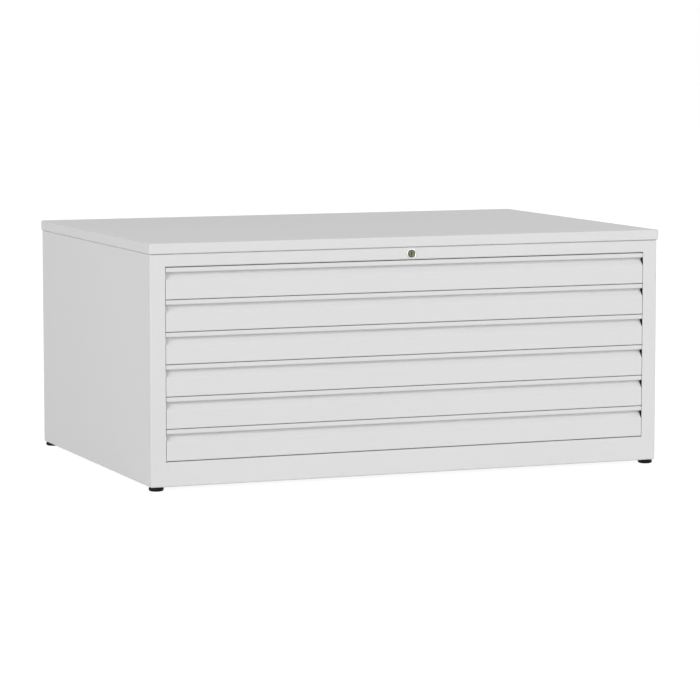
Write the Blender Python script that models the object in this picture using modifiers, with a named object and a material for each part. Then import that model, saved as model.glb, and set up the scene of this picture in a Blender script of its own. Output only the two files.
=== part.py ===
"""Flat file cabinet: a low steel plan chest with six shallow drawers on telescopic slides.

Lengths are in metres and +Z is up. The drawers open towards -Y. The origin lies on the
floor under the middle of the cabinet. Heights inside one drawer are counted from the
lower edge of its front, and depths from the cabinet's front plane.
"""

import math

import bmesh
import bpy
from mathutils import Vector

# Body, folded from sheet steel
body_width = 0.996
body_depth = 0.675
body_height = 0.4144
body_sheet = 0.0012
body_bend = 0.0013
stile_width = 0.0285
top_rail_height = 0.0229
top_rail_depth = 0.030
top_rail_return = 0.014
bottom_rail_height = 0.0446
bottom_rail_depth = 0.020
panel_margin = 0.006
back_flange = 0.055
bottom_panel_setback = 0.0005
bottom_panel_flange = 0.015

# Top cover, a shallow tray turned upside down
cover_height = 0.019
cover_side_overhang = 0.002
cover_front_overhang = 0.0035
cover_back_overhang = 0.0005
cover_rim = 0.018
cover_sheet = 0.0012
cover_bend = 0.0008

# Clearances and steps shared by all pieces
seat_gap = 0.0003
running_gap = 0.0005
cut_overrun = 0.002
weld_distance = 0.00001
weld_sink = 0.0002
bend_steps = 2
corner_share = 0.45

# Feet, a plastic glide on a steel stem that screws into a welded nut
foot_height = 0.0075
foot_radius = 0.0135
foot_land = 0.0028
foot_round = 0.0035
foot_stem_radius = 0.004
foot_stem_length = 0.024
foot_inset = 0.0138
foot_nut_radius = 0.0075
foot_nut_height = 0.008
foot_nut_clearance = 0.0015
foot_sides = 24

# Drawer fronts, folded with a lip to pull by and a slanting recess under it
drawer_count = 6
drawer_gap = 0.0017
front_side_gap = 0.0015
front_depth = 0.016
front_sheet = 0.0012
front_bend = 0.0005
lip_height = 0.008
recess_depth = 0.009
recess_back_height = 0.0042
recess_slope_height = 0.011
front_return = 0.015
front_ear_depth = 0.012
front_ear_inset = 0.0002

# Trays, one pan each, with a rim turned in along the top and a wider hood at the rear
tray_lift = 0.003
tray_height = 0.045
tray_back_room = 0.023
tray_sheet = 0.001
tray_bend = 0.0006
tray_rim = 0.010
tray_hood = 0.045

# Telescopic slides, three channels that nest in each other
slide_thickness = 0.0127
slide_height = 0.036
slide_sheet = 0.0012
slide_bend = 0.0012
slide_start = 0.022
slide_back_room = 0.030

# Uprights that carry the slides, welded to the side walls
post_width = 0.040
post_foot = 0.012
front_post_start = 0.060
rear_post_inset = 0.052
post_sheet = 0.0012
post_bend = 0.001

# Cylinder lock in the middle of the top rail
lock_drop = 0.012
lock_head_radius = 0.009
lock_head_thickness = 0.0020
lock_head_chamfer = 0.0005
lock_dish_radius = 0.0075
lock_dish_depth = 0.0008
lock_barrel_radius = 0.007
lock_barrel_length = 0.024
lock_plug_radius = 0.0056
lock_plug_recess = 0.0002
lock_collar_radius = 0.0066
lock_collar_length = 0.0015
key_slot_width = 0.0016
key_slot_height = 0.007
key_slot_depth = 0.006
lock_nut_width = 0.017
lock_nut_thickness = 0.004
lock_tail_width = 0.006
lock_tail_thickness = 0.0025
lock_tail_length = 0.009
lock_sides = 24

# Turning rod from the lock to the rear, with its bearing and crank
rod_radius = 0.003
rod_sleeve_radius = 0.0055
rod_sleeve_length = 0.014
rod_sides = 16
crank_thickness = 0.003
crank_hub_radius = 0.006
crank_tip_radius = 0.004
crank_gap = 0.002
crank_pin_radius = 0.002
crank_pin_overrun = 0.002
bracket_width = 0.024
bracket_sheet = 0.0015
bracket_bend = 0.001
bracket_leg = 0.012
bracket_skirt = 0.008

# Latch plate behind the slides: one arm along the top, one down the side with fingers for the catches
latch_setback = 0.012
latch_thickness = 0.0025
latch_travel = 0.010
latch_clearance = 0.006
latch_arm_width = 0.016
latch_wall_gap = 0.002
latch_left_end = 0.022
latch_slot_web = 0.0025
latch_slot_play = 0.0005
finger_height = 0.008
finger_play = 0.0015
catch_height = 0.024
catch_leg = 0.006
catch_sheet = 0.0015
catch_bend = 0.0005
guide_length = 0.030
guide_depth = 0.008
guide_sheet = 0.0012
guide_bend = 0.0004
upper_guide_place = 0.300

# Places that follow from the sizes above
cover_width = body_width + 2 * cover_side_overhang
cover_depth = cover_front_overhang + body_depth + cover_back_overhang
body_front = cover_front_overhang - cover_depth / 2
body_side = body_width / 2
body_bottom = foot_height
body_top = body_bottom + body_height
wall_inside = body_side - body_sheet - seat_gap
floor_under = body_bottom + body_sheet + seat_gap
floor_top = floor_under + body_sheet
roof_under = body_top - body_sheet - seat_gap
back_outside = body_front + body_depth - body_sheet - seat_gap
back_inside = back_outside - body_sheet
opening_side = body_side - stile_width
opening_bottom = body_bottom + bottom_rail_height
opening_top = body_top - top_rail_height
drawer_pitch = (opening_top - opening_bottom - drawer_gap) / drawer_count
front_height = drawer_pitch - drawer_gap
front_side = opening_side - front_side_gap
tray_front = front_depth + seat_gap
tray_back = body_depth - tray_back_room
tray_side = opening_side - slide_thickness
tray_middle = tray_lift + tray_height / 2
slide_end = tray_back - slide_back_room
rear_post_start = slide_end - rear_post_inset - post_width
slide_edge = tray_side + running_gap
middle_back = opening_side - slide_sheet - running_gap
middle_height = slide_height - 2 * (slide_sheet + running_gap)
inner_back = tray_side + seat_gap
inner_edge = middle_back - slide_sheet - running_gap
inner_height = middle_height - 2 * (slide_sheet + running_gap)
latch_start = tray_back - latch_setback
catch_front = latch_start + latch_thickness + finger_play
lock_height = body_top - lock_drop
latch_front = body_front + latch_start
latch_back = latch_front + latch_thickness
crank_back = latch_front - crank_gap
crank_front = crank_back - crank_thickness
crank_reach = latch_travel / math.sqrt(2)
latch_top = roof_under - body_sheet - seat_gap - guide_sheet - running_gap


def new_collection(name):
    collection = bpy.data.collections.new(name)
    bpy.context.scene.collection.children.link(collection)
    return collection


def new_material(name, colour, roughness, metallic):
    material = bpy.data.materials.new(name)
    material.use_nodes = True
    shader = material.node_tree.nodes["Principled BSDF"]
    shader.inputs["Base Color"].default_value = (*colour, 1)
    shader.inputs["Roughness"].default_value = roughness
    shader.inputs["Metallic"].default_value = metallic
    return material


def clear_scene():
    for leftover in list(bpy.data.objects):
        bpy.data.objects.remove(leftover, do_unlink=True)


clear_scene()
cabinet = new_collection("flat_file_cabinet")
cutters = new_collection("cutters")
grey_paint = new_material("light_grey_paint", (0.72, 0.72, 0.72), 0.45, 0)
zinc = new_material("zinc_plated_steel", (0.60, 0.61, 0.62), 0.35, 1)
nickel = new_material("nickel_plating", (0.70, 0.69, 0.66), 0.20, 1)
lock_metal = new_material("lock_core_metal", (0.38, 0.36, 0.30), 0.35, 1)
black_plastic = new_material("black_plastic", (0.02, 0.02, 0.02), 0.50, 0)


def add_object(name, mesh, collection, place=(0, 0, 0)):
    piece = bpy.data.objects.new(name, mesh)
    piece.location = place
    collection.objects.link(piece)
    return piece


def mesh_from(shape, name):
    """Turn a bmesh into a mesh and let go of it."""
    mesh = bpy.data.meshes.new(name)
    shape.to_mesh(mesh)
    shape.free()
    return mesh


def add_guide(name, mesh, place):
    """A shape that only cuts or joins another one."""
    guide = add_object(name, mesh, cutters, place)
    guide.display_type = "WIRE"
    guide.hide_render = True
    return guide


def box_guide(name, low, high):
    low = Vector(low)
    high = Vector(high)
    shape = bmesh.new()
    bmesh.ops.create_cube(shape, size=1)
    bmesh.ops.scale(shape, vec=high - low, verts=shape.verts)
    return add_guide(name, mesh_from(shape, name), (low + high) / 2)


def round_guide(name, radius, start, end, sides):
    """A cylinder, or a prism, between two points on a line along Y or Z."""
    start = Vector(start)
    end = Vector(end)
    shape = bmesh.new()
    length = (end - start).length
    bmesh.ops.create_cone(shape, cap_ends=True, segments=sides, radius1=radius, radius2=radius, depth=length)
    guide = add_guide(name, mesh_from(shape, name), (start + end) / 2)
    guide.rotation_mode = "QUATERNION"
    guide.rotation_quaternion = (end - start).to_track_quat("Z", "Y")
    return guide


def combine(piece, guide, operation):
    change = piece.modifiers.new(guide.name, "BOOLEAN")
    change.operation = operation
    change.solver = "EXACT"
    change.object = guide


def thicken(piece, sheet):
    """Give an open skin its thickness, on the side away from its normals."""
    wall = piece.modifiers.new("sheet", "SOLIDIFY")
    wall.thickness = sheet
    wall.offset = -1
    wall.use_even_offset = True


def fixed_mesh(piece, smooth=False):
    """Apply a pattern piece's modifiers, remove it with its guides, and return its mesh."""
    bpy.context.view_layer.update()
    graph = bpy.context.evaluated_depsgraph_get()
    mesh = bpy.data.meshes.new_from_object(piece.evaluated_get(graph))
    mesh.transform(piece.matrix_world)
    mesh.name = piece.name
    guides = [change.object for change in piece.modifiers if change.type == "BOOLEAN"]
    for used in [piece, *guides]:
        bpy.data.objects.remove(used, do_unlink=True)
    if smooth:
        mesh.shade_smooth()
        mesh.set_sharp_from_angle(angle=math.radians(35))
    return mesh


def paint(piece, material):
    piece.data.materials.clear()
    piece.data.materials.append(material)
    return piece


def section_point(axis, across, up, along):
    """A point of a section that is drawn out along the given axis."""
    places = {"X": (along, across, up), "Y": (across, along, up), "Z": (across, up, along)}
    return Vector(places[axis])


def bent_line(corners, bend, sheet):
    """Round the corners of a section line whose sheet lies on its left."""
    corners = [Vector(corner) for corner in corners]
    line = [corners[0]]
    for before, corner, after in zip(corners, corners[1:], corners[2:]):
        way_in = (corner - before).normalized()
        way_out = (after - corner).normalized()
        turn = math.atan2(way_in.cross(way_out), way_in.dot(way_out))
        radius = bend + sheet if turn > 0 else bend
        room = corner_share * min((corner - before).length, (after - corner).length)
        reach = min(radius * math.tan(abs(turn) / 2), room)
        radius = reach / math.tan(abs(turn) / 2)
        left = Vector((-way_in.y, way_in.x)) * math.copysign(radius, turn)
        centre = corner - way_in * reach + left
        for step in range(bend_steps + 1):
            angle = turn * step / bend_steps
            spoke = Vector((-left.x * math.cos(angle) + left.y * math.sin(angle),
                            -left.x * math.sin(angle) - left.y * math.cos(angle)))
            line.append(centre + spoke)
    line.append(corners[-1])
    return line


def folded_sheet(name, corners, start, end, axis, bend, sheet, place=(0, 0, 0)):
    """A bent strip: the section line is drawn out along an axis, and thickened to its left."""
    line = bent_line(corners, bend, sheet)
    skin = bmesh.new()
    near = [skin.verts.new(section_point(axis, across, up, start)) for across, up in line]
    edges = [skin.edges.new(pair) for pair in zip(near, near[1:])]
    drawn = bmesh.ops.extrude_edge_only(skin, edges=edges)["geom"]
    far = [part for part in drawn if isinstance(part, bmesh.types.BMVert)]
    bmesh.ops.translate(skin, verts=far, vec=section_point(axis, 0, 0, end - start))
    bmesh.ops.recalc_face_normals(skin, faces=skin.faces)
    way = line[1] - line[0]
    left = section_point(axis, -way.y, way.x, 0)
    if near[0].link_faces[0].normal.dot(left) > 0:
        bmesh.ops.reverse_faces(skin, faces=skin.faces)
    piece = add_object(name, mesh_from(skin, name), cabinet, place)
    thicken(piece, sheet)
    return piece


def mirrored(corners):
    """The same section on the left side of the cabinet, its sheet still on the left of the line."""
    return [(-across, up) for across, up in reversed(corners)]


def folded_pan(name, low, high, open_side, rim, bend, sheet):
    """A block without the face on its open side, or with only a rim there, as sheet."""
    low = Vector(low)
    high = Vector(high)
    skin = bmesh.new()
    bmesh.ops.create_cube(skin, size=1)
    bmesh.ops.scale(skin, vec=high - low, verts=skin.verts)
    lid = max(skin.faces, key=lambda face: face.normal.dot(Vector(open_side)))
    if rim > 0:
        bmesh.ops.inset_region(skin, faces=[lid], thickness=rim)
    bmesh.ops.delete(skin, geom=[lid], context="FACES")
    piece = add_object(name, mesh_from(skin, name), cabinet, (low + high) / 2)
    folds = piece.modifiers.new("folds", "BEVEL")
    folds.width = bend + sheet
    folds.segments = bend_steps
    folds.limit_method = "ANGLE"
    folds.angle_limit = math.radians(30)
    thicken(piece, sheet)
    return piece


def turned_mesh(name, profile, sides, closed=False):
    """A profile of radii and heights, turned about Z; it runs down its outer side."""
    outline = bmesh.new()
    corners = [outline.verts.new((radius, 0, height)) for radius, height in profile]
    for pair in zip(corners, corners[1:]):
        outline.edges.new(pair)
    if closed:
        outline.edges.new((corners[-1], corners[0]))
    piece = add_object(name, mesh_from(outline, name), cabinet)
    lathe = piece.modifiers.new("turned", "SCREW")
    lathe.steps = sides
    lathe.render_steps = sides
    lathe.use_merge_vertices = True
    lathe.merge_threshold = weld_distance
    return fixed_mesh(piece, smooth=True)


def flat_plate(name, outline, thickness, place):
    """A plate cut to an outline of X and Z, with its middle plane at the given place."""
    curve = bpy.data.curves.new(name + "_outline", "CURVE")
    curve.dimensions = "2D"
    curve.fill_mode = "BOTH"
    curve.extrude = thickness / 2
    spline = curve.splines.new("POLY")
    spline.points.add(len(outline) - 1)
    for point, (across, up) in zip(spline.points, outline):
        point.co = (across, up, 0, 1)
    spline.use_cyclic_u = True
    drawing = add_object(name + "_outline", curve, cabinet, place)
    drawing.rotation_euler = (math.radians(90), 0, 0)
    bpy.context.view_layer.update()
    graph = bpy.context.evaluated_depsgraph_get()
    mesh = bpy.data.meshes.new_from_object(drawing.evaluated_get(graph))
    mesh.name = name
    solid = bmesh.new()
    solid.from_mesh(mesh)
    bmesh.ops.remove_doubles(solid, verts=solid.verts, dist=weld_distance)
    bmesh.ops.recalc_face_normals(solid, faces=solid.faces)
    solid.to_mesh(mesh)
    solid.free()
    plate = add_object(name, mesh, cabinet)
    plate.matrix_world = drawing.matrix_world
    bpy.data.objects.remove(drawing, do_unlink=True)
    return plate


def add_empty(name, place):
    return add_object(name, None, cabinet, place)


def add_copy(name, mesh, material, parent):
    """One more piece of a repeated pattern, carried by the empty it belongs to."""
    piece = add_object(name, mesh, cabinet)
    piece.parent = parent
    return paint(piece, material)


def foot_places():
    """The four feet by name, as X and Y."""
    sides = {"left": foot_inset - body_side, "right": body_side - foot_inset}
    depths = {"front": body_front + foot_inset, "rear": body_front + body_depth - foot_inset}
    return {f"{depth}_{side}": (sides[side], depths[depth]) for depth in depths for side in sides}


def slide_post(name, side, start):
    """Upright of hat section for the inside of a side wall; its web carries the fixed slide channels."""
    wall = body_side - body_sheet + weld_sink
    web = opening_side + seat_gap + post_sheet
    near = body_front + start
    far = near + post_width
    corners = [(wall, near - post_foot), (wall, near), (web, near), (web, far), (wall, far), (wall, far + post_foot)]
    corners = mirrored(corners) if side < 0 else corners
    bottom = floor_top + seat_gap
    top = roof_under - body_bend
    post = folded_sheet(name, corners, bottom, top, "Z", post_bend, post_sheet)
    return add_guide(name + "_shape", fixed_mesh(post), (0, 0, 0))


def side_panel(side_name, side):
    """Side wall with a flange folded in on all four edges; the front one is the stile.

    Two uprights and the nuts of the feet are welded in.
    """
    flat_x = sorted((side * body_side, side * opening_side))
    low = (flat_x[0], body_front, body_bottom)
    high = (flat_x[1], body_front + body_depth, body_top)
    panel = folded_pan(f"side_panel_{side_name}", low, high, (-side, 0, 0), 0, body_bend, body_sheet)
    for foot_name, (x, y) in foot_places().items():
        if foot_name.endswith(side_name):
            nut_bottom = body_bottom + body_sheet / 2
            nut_top = body_bottom + body_sheet + foot_nut_height
            nut = round_guide(f"nut_{foot_name}", foot_nut_radius, (x, y, nut_bottom), (x, y, nut_top), 6)
            combine(panel, nut, "UNION")
            hole_bottom = body_bottom - cut_overrun
            hole_top = nut_top + cut_overrun
            radius = foot_stem_radius + seat_gap
            hole = round_guide(f"stem_hole_{foot_name}", radius, (x, y, hole_bottom), (x, y, hole_top), foot_sides)
            combine(panel, hole, "DIFFERENCE")
    for post_name, start in (("front_post", front_post_start), ("rear_post", rear_post_start)):
        combine(panel, slide_post(f"{post_name}_{side_name}", side, start), "UNION")
    paint(panel, grey_paint)


def latch_guide(name, seat, opening, middle_x):
    """Channel that holds an edge of the latch plate; it opens up (1) or down (-1) from its seat."""
    front = latch_front - running_gap - guide_sheet
    rear = latch_back + running_gap + guide_sheet
    edge = seat + opening * (guide_sheet + guide_depth)
    corners = [(front, edge), (front, seat), (rear, seat), (rear, edge)]
    if opening < 0:
        corners = list(reversed(corners))
    start = middle_x - guide_length / 2
    end = middle_x + guide_length / 2
    guide = folded_sheet(name, corners, start, end, "X", guide_bend, guide_sheet)
    return add_guide(name + "_shape", fixed_mesh(guide), (0, 0, 0))


def back_panel():
    """Rear wall inside the side panels' rear flanges, with a deep flange along its top.

    The latch plate's upper guide is welded under the flange.
    """
    lower_edge = floor_under + body_bend
    corners = [(back_outside, lower_edge), (back_outside, roof_under), (back_outside - back_flange, roof_under)]
    reach = body_side - panel_margin
    panel = folded_sheet("back_panel", corners, -reach, reach, "X", body_bend, body_sheet)
    seat = roof_under - body_sheet + weld_sink
    combine(panel, latch_guide("upper_guide", seat, -1, upper_guide_place), "UNION")
    paint(panel, grey_paint)


def bottom_panel():
    """Floor of the body on the side panels' flanges, turned up at the front and the rear.

    The latch plate's lower guide is welded on top.
    """
    front = body_front + body_sheet + body_bend + bottom_panel_setback
    rear = back_inside - seat_gap
    top = floor_under + bottom_panel_flange
    corners = [(front, top), (front, floor_under), (rear, floor_under), (rear, top)]
    reach = body_side - panel_margin
    panel = folded_sheet("bottom_panel", corners, -reach, reach, "X", body_bend, body_sheet)
    for foot_name, (x, y) in foot_places().items():
        low = (x, y, floor_under - cut_overrun)
        high = (x, y, floor_top + cut_overrun)
        radius = foot_nut_radius + foot_nut_clearance
        combine(panel, round_guide(f"nut_hole_{foot_name}", radius, low, high, foot_sides), "DIFFERENCE")
    guide_place = wall_inside - guide_length / 2 - seat_gap
    combine(panel, latch_guide("lower_guide", floor_top - weld_sink, 1, guide_place), "UNION")
    paint(panel, grey_paint)


def top_rail():
    """Rail over the drawers: a channel open to the rear, with the lock's hole."""
    rear = body_front + top_rail_depth
    corners = [(rear, body_top), (body_front, body_top), (body_front, opening_top),
               (body_front + top_rail_return, opening_top)]
    reach = opening_side - seat_gap
    rail = folded_sheet("top_rail", corners, -reach, reach, "X", body_bend, body_sheet)
    start = (0, body_front - cut_overrun, lock_height)
    end = (0, body_front + body_sheet + cut_overrun, lock_height)
    combine(rail, round_guide("lock_hole", lock_barrel_radius + seat_gap, start, end, lock_sides), "DIFFERENCE")
    paint(rail, grey_paint)


def bottom_rail():
    """Rail under the drawers, folded back along both edges."""
    rear = body_front + bottom_rail_depth
    corners = [(rear, opening_bottom), (body_front, opening_bottom), (body_front, body_bottom), (rear, body_bottom)]
    reach = opening_side - seat_gap
    paint(folded_sheet("bottom_rail", corners, -reach, reach, "X", body_bend, body_sheet), grey_paint)


def top_cover():
    """Loose cover that rests on the body, with its skirt turned in underneath."""
    bottom = body_top + seat_gap
    low = (-cover_width / 2, -cover_depth / 2, bottom)
    high = (cover_width / 2, cover_depth / 2, bottom + cover_height)
    paint(folded_pan("top_cover", low, high, (0, 0, -1), cover_rim, cover_bend, cover_sheet), grey_paint)


def channel_corners(edge, back, height):
    """Section of a slide channel on the right side of a drawer, from its lower edge to its upper one."""
    low = tray_middle - height / 2
    high = tray_middle + height / 2
    return [(edge, low), (back, low), (back, high), (edge, high)]


def channel_meshes(name, corners):
    """The channel for the right side and its mirror image for the left."""
    lines = {"left": mirrored(corners), "right": corners}
    return {side: fixed_mesh(folded_sheet(f"{name}_{side}", line, slide_start, slide_end, "Y", slide_bend, slide_sheet))
            for side, line in lines.items()}


def tray_mesh():
    """Drawer pan with the slides' inner channels welded to its sides.

    Along the rear its rim is wider, as a hood that holds the sheets down.
    """
    low = (-tray_side, tray_front, tray_lift)
    high = (tray_side, tray_back, tray_lift + tray_height)
    tray = folded_pan("drawer_tray", low, high, (0, 0, 1), tray_rim, tray_bend, tray_sheet)
    rear_rim = max(corner.co.y for corner in tray.data.vertices) - tray_rim
    for corner in tray.data.vertices:
        if abs(corner.co.y - rear_rim) < weld_distance:
            corner.co.y -= tray_hood - tray_rim
    corners = channel_corners(inner_edge, tray_side - weld_sink, inner_height)
    for side, channel in channel_meshes("slide_inner", list(reversed(corners))).items():
        combine(tray, add_guide(f"slide_inner_{side}", channel, (0, 0, 0)), "UNION")
    return fixed_mesh(tray)


def catch_mesh():
    """Angle on the right side of a tray, behind its slide; the latch finger drops in before it."""
    corners = [(inner_back, catch_front + catch_leg), (inner_back, catch_front), (inner_edge, catch_front)]
    low = tray_middle - catch_height / 2
    high = tray_middle + catch_height / 2
    return fixed_mesh(folded_sheet("latch_catch", corners, low, high, "Z", catch_bend, catch_sheet))


def front_mesh():
    """Drawer front from one folded sheet: lip on top, recess under it, flat face below.

    Both edges turn in again at the rear, flat against the tray, and a small ear closes each end.
    """
    lip_bottom = front_height - lip_height
    recess_bottom = lip_bottom - recess_back_height
    face_top = recess_bottom - recess_slope_height
    corners = [(front_depth, front_height - front_return), (front_depth, front_height), (0, front_height),
               (0, lip_bottom), (recess_depth, lip_bottom), (recess_depth, recess_bottom), (0, face_top), (0, 0),
               (front_depth, 0), (front_depth, front_return)]
    front = folded_sheet("drawer_front", corners, -front_side, front_side, "X", front_bend, front_sheet)
    for side in (-1, 1):
        outside = side * (front_side - front_ear_inset)
        inside = outside - side * front_sheet
        low = (min(outside, inside), front_sheet / 2, front_sheet / 2)
        high = (max(outside, inside), front_ear_depth, face_top)
        combine(front, box_guide(f"front_ear_{side}", low, high), "UNION")
    return fixed_mesh(front)


def foot_mesh():
    """Glide with a rounded lower edge, moulded round its stem."""
    top = foot_height - seat_gap
    stem_top = top + foot_stem_length
    rounding = min(foot_round, corner_share * foot_radius, top - foot_land)
    profile = [(0, stem_top), (foot_stem_radius, stem_top), (foot_stem_radius, top), (foot_radius, top)]
    arc_steps = 2 * bend_steps
    for step in range(arc_steps + 1):
        angle = math.radians(90) * step / arc_steps
        radius = foot_radius - rounding + rounding * math.cos(angle)
        profile.append((radius, rounding - rounding * math.sin(angle)))
    profile.append((0, 0))
    return turned_mesh("foot", profile, foot_sides)


def lock_tilt():
    """Turns a profile's height into depth, from the cabinet's front towards its rear."""
    return (math.radians(-90), 0, 0)


def lock_housing():
    """Barrel with a round, slightly dished head on the rail's face, bored for the plug."""
    face = -seat_gap - lock_head_thickness
    bore = lock_plug_radius + seat_gap
    rim = lock_head_radius - lock_head_chamfer
    profile = [(bore, lock_barrel_length), (lock_barrel_radius, lock_barrel_length), (lock_barrel_radius, -seat_gap),
               (lock_head_radius, -seat_gap), (lock_head_radius, face + lock_head_chamfer), (rim, face),
               (lock_dish_radius, face), (bore, face + lock_dish_depth)]
    mesh = turned_mesh("lock_housing", profile, lock_sides, closed=True)
    housing = add_object("lock_housing", mesh, cabinet, (0, body_front, lock_height))
    housing.rotation_euler = lock_tilt()
    paint(housing, nickel)


def lock_nut():
    """Hexagonal nut that draws the barrel against the rail from behind."""
    front = body_front + body_sheet + seat_gap
    rear = front + lock_nut_thickness
    radius = lock_nut_width / math.sqrt(3)
    shape = bmesh.new()
    bmesh.ops.create_cone(shape, cap_ends=True, segments=6, radius1=radius, radius2=radius, depth=lock_nut_thickness)
    nut = add_object("lock_nut", mesh_from(shape, "lock_nut"), cabinet, (0, (front + rear) / 2, lock_height))
    nut.rotation_euler = (math.radians(90), math.radians(30), 0)
    start = (0, front - cut_overrun, lock_height)
    end = (0, rear + cut_overrun, lock_height)
    combine(nut, round_guide("nut_bore", lock_barrel_radius + seat_gap, start, end, lock_sides), "DIFFERENCE")
    paint(nut, zinc)


def lock_plug(axis):
    """Turning core with the key slot, a retaining collar and a flat tail."""
    face = lock_dish_depth + lock_plug_recess - seat_gap - lock_head_thickness
    collar_front = lock_barrel_length + seat_gap
    collar_rear = collar_front + lock_collar_length
    profile = [(0, collar_rear), (lock_collar_radius, collar_rear), (lock_collar_radius, collar_front),
               (lock_plug_radius, collar_front), (lock_plug_radius, face), (0, face)]
    plug = add_object("lock_plug", turned_mesh("lock_plug", profile, lock_sides), cabinet)
    plug.rotation_euler = lock_tilt()
    plug.parent = axis
    face_y = body_front + face
    slot_low = (-key_slot_width / 2, face_y - cut_overrun, lock_height - key_slot_height / 2)
    slot_high = (key_slot_width / 2, face_y + key_slot_depth, lock_height + key_slot_height / 2)
    combine(plug, box_guide("key_slot", slot_low, slot_high), "DIFFERENCE")
    tail_start = body_front + collar_rear - lock_collar_length / 2
    tail_end = body_front + collar_rear + lock_tail_length
    tail_low = (-lock_tail_thickness / 2, tail_start, lock_height - lock_tail_width / 2)
    tail_high = (lock_tail_thickness / 2, tail_end, lock_height + lock_tail_width / 2)
    combine(plug, box_guide("plug_tail", tail_low, tail_high), "UNION")
    paint(plug, lock_metal)


def lock_rod(axis):
    """Rod from the plug's tail to the crank, with a socket sleeve on its front end."""
    start = lock_barrel_length + seat_gap + lock_collar_length + seat_gap
    sleeve_end = start + rod_sleeve_length
    end = crank_back - body_front
    profile = [(0, end), (rod_radius, end), (rod_radius, sleeve_end), (rod_sleeve_radius, sleeve_end),
               (rod_sleeve_radius, start), (0, start)]
    rod = add_object("lock_rod", turned_mesh("lock_rod", profile, rod_sides), cabinet)
    rod.rotation_euler = lock_tilt()
    rod.parent = axis
    half_thickness = lock_tail_thickness / 2 + seat_gap
    half_width = lock_tail_width / 2 + seat_gap
    socket_end = body_front + start + lock_tail_length
    low = (-half_thickness, body_front + start - cut_overrun, lock_height - half_width)
    high = (half_thickness, socket_end, lock_height + half_width)
    combine(rod, box_guide("tail_socket", low, high), "DIFFERENCE")
    paint(rod, zinc)


def crank_pin_place():
    """Centre of the crank pin while the lock is open, as X and Z."""
    return latch_travel / 2, lock_height - latch_travel / 2


def lock_crank(axis):
    """Crank on the rod's rear end; its pin draws the latch plate sideways."""
    pin_x, pin_z = crank_pin_place()
    shape = bmesh.new()
    ends = ((crank_hub_radius, 0, 0), (crank_tip_radius, pin_x, pin_z - lock_height))
    for radius, centre_x, centre_y in ends:
        for step in range(rod_sides):
            angle = math.tau * step / rod_sides
            x = centre_x + radius * math.cos(angle)
            y = centre_y + radius * math.sin(angle)
            shape.verts.new((x, y, -crank_thickness / 2))
            shape.verts.new((x, y, crank_thickness / 2))
    hull = bmesh.ops.convex_hull(shape, input=shape.verts)
    bmesh.ops.delete(shape, geom=hull["geom_interior"], context="VERTS")
    middle = (crank_front + crank_back) / 2
    crank = add_object("lock_crank", mesh_from(shape, "lock_crank"), cabinet, (0, middle - body_front, 0))
    crank.rotation_euler = (math.radians(90), 0, 0)
    crank.parent = axis
    start = (pin_x, middle, pin_z)
    end = (pin_x, latch_back + crank_pin_overrun, pin_z)
    combine(crank, round_guide("crank_pin", crank_pin_radius, start, end, rod_sides), "UNION")
    bore_start = (0, crank_front - cut_overrun, lock_height)
    bore_end = (0, crank_back + cut_overrun, lock_height)
    combine(crank, round_guide("crank_bore", rod_radius + seat_gap, bore_start, bore_end, rod_sides), "DIFFERENCE")
    paint(crank, zinc)


def rod_bracket():
    """Bearing plate for the rod, hung from the back panel's top flange."""
    rear = crank_front - crank_gap
    top = roof_under - body_sheet - seat_gap
    bottom = lock_height - bracket_skirt
    corners = [(rear, bottom), (rear, top), (rear - bracket_leg, top)]
    bracket = folded_sheet("rod_bracket", corners, -bracket_width / 2, bracket_width / 2, "X", bracket_bend,
                           bracket_sheet)
    start = (0, rear - bracket_sheet - cut_overrun, lock_height)
    end = (0, rear + cut_overrun, lock_height)
    combine(bracket, round_guide("rod_hole", rod_radius + seat_gap, start, end, rod_sides), "DIFFERENCE")
    paint(bracket, zinc)


def finger_heights():
    """Middle height of each slide, from the lowest drawer to the highest."""
    return [opening_top - number * drawer_pitch + tray_middle for number in range(drawer_count, 0, -1)]


def latch_plate():
    """Flat plate with a slot for the crank pin and a finger for each drawer."""
    pin_x, pin_z = crank_pin_place()
    slot_half = crank_pin_radius + latch_slot_play
    lowest_pin = lock_height - crank_reach
    arm_bottom = lowest_pin - slot_half - latch_slot_web
    outside = wall_inside - latch_wall_gap
    inside = outside - latch_arm_width
    tip = inner_edge + latch_clearance
    foot = floor_top + seat_gap + guide_sheet + running_gap
    outline = [(outside, foot), (outside, latch_top), (-latch_left_end, latch_top), (-latch_left_end, arm_bottom),
               (inside, arm_bottom)]
    for height in reversed(finger_heights()):
        low = height - finger_height / 2
        high = height + finger_height / 2
        outline += [(inside, high), (tip, high), (tip, low), (inside, low)]
    outline.append((inside, foot))
    middle = (latch_front + latch_back) / 2
    plate = flat_plate("latch_plate", list(reversed(outline)), latch_thickness, (0, middle, 0))
    slot_low = (pin_x - slot_half, latch_front - cut_overrun, lowest_pin - slot_half)
    slot_high = (pin_x + slot_half, latch_back + cut_overrun, pin_z + slot_half)
    combine(plate, box_guide("crank_slot", slot_low, slot_high), "DIFFERENCE")
    paint(plate, zinc)


def lock():
    axis = add_empty("lock_axis", (0, body_front, lock_height))
    lock_housing()
    lock_nut()
    lock_plug(axis)
    lock_rod(axis)
    lock_crank(axis)
    rod_bracket()
    latch_plate()


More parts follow.
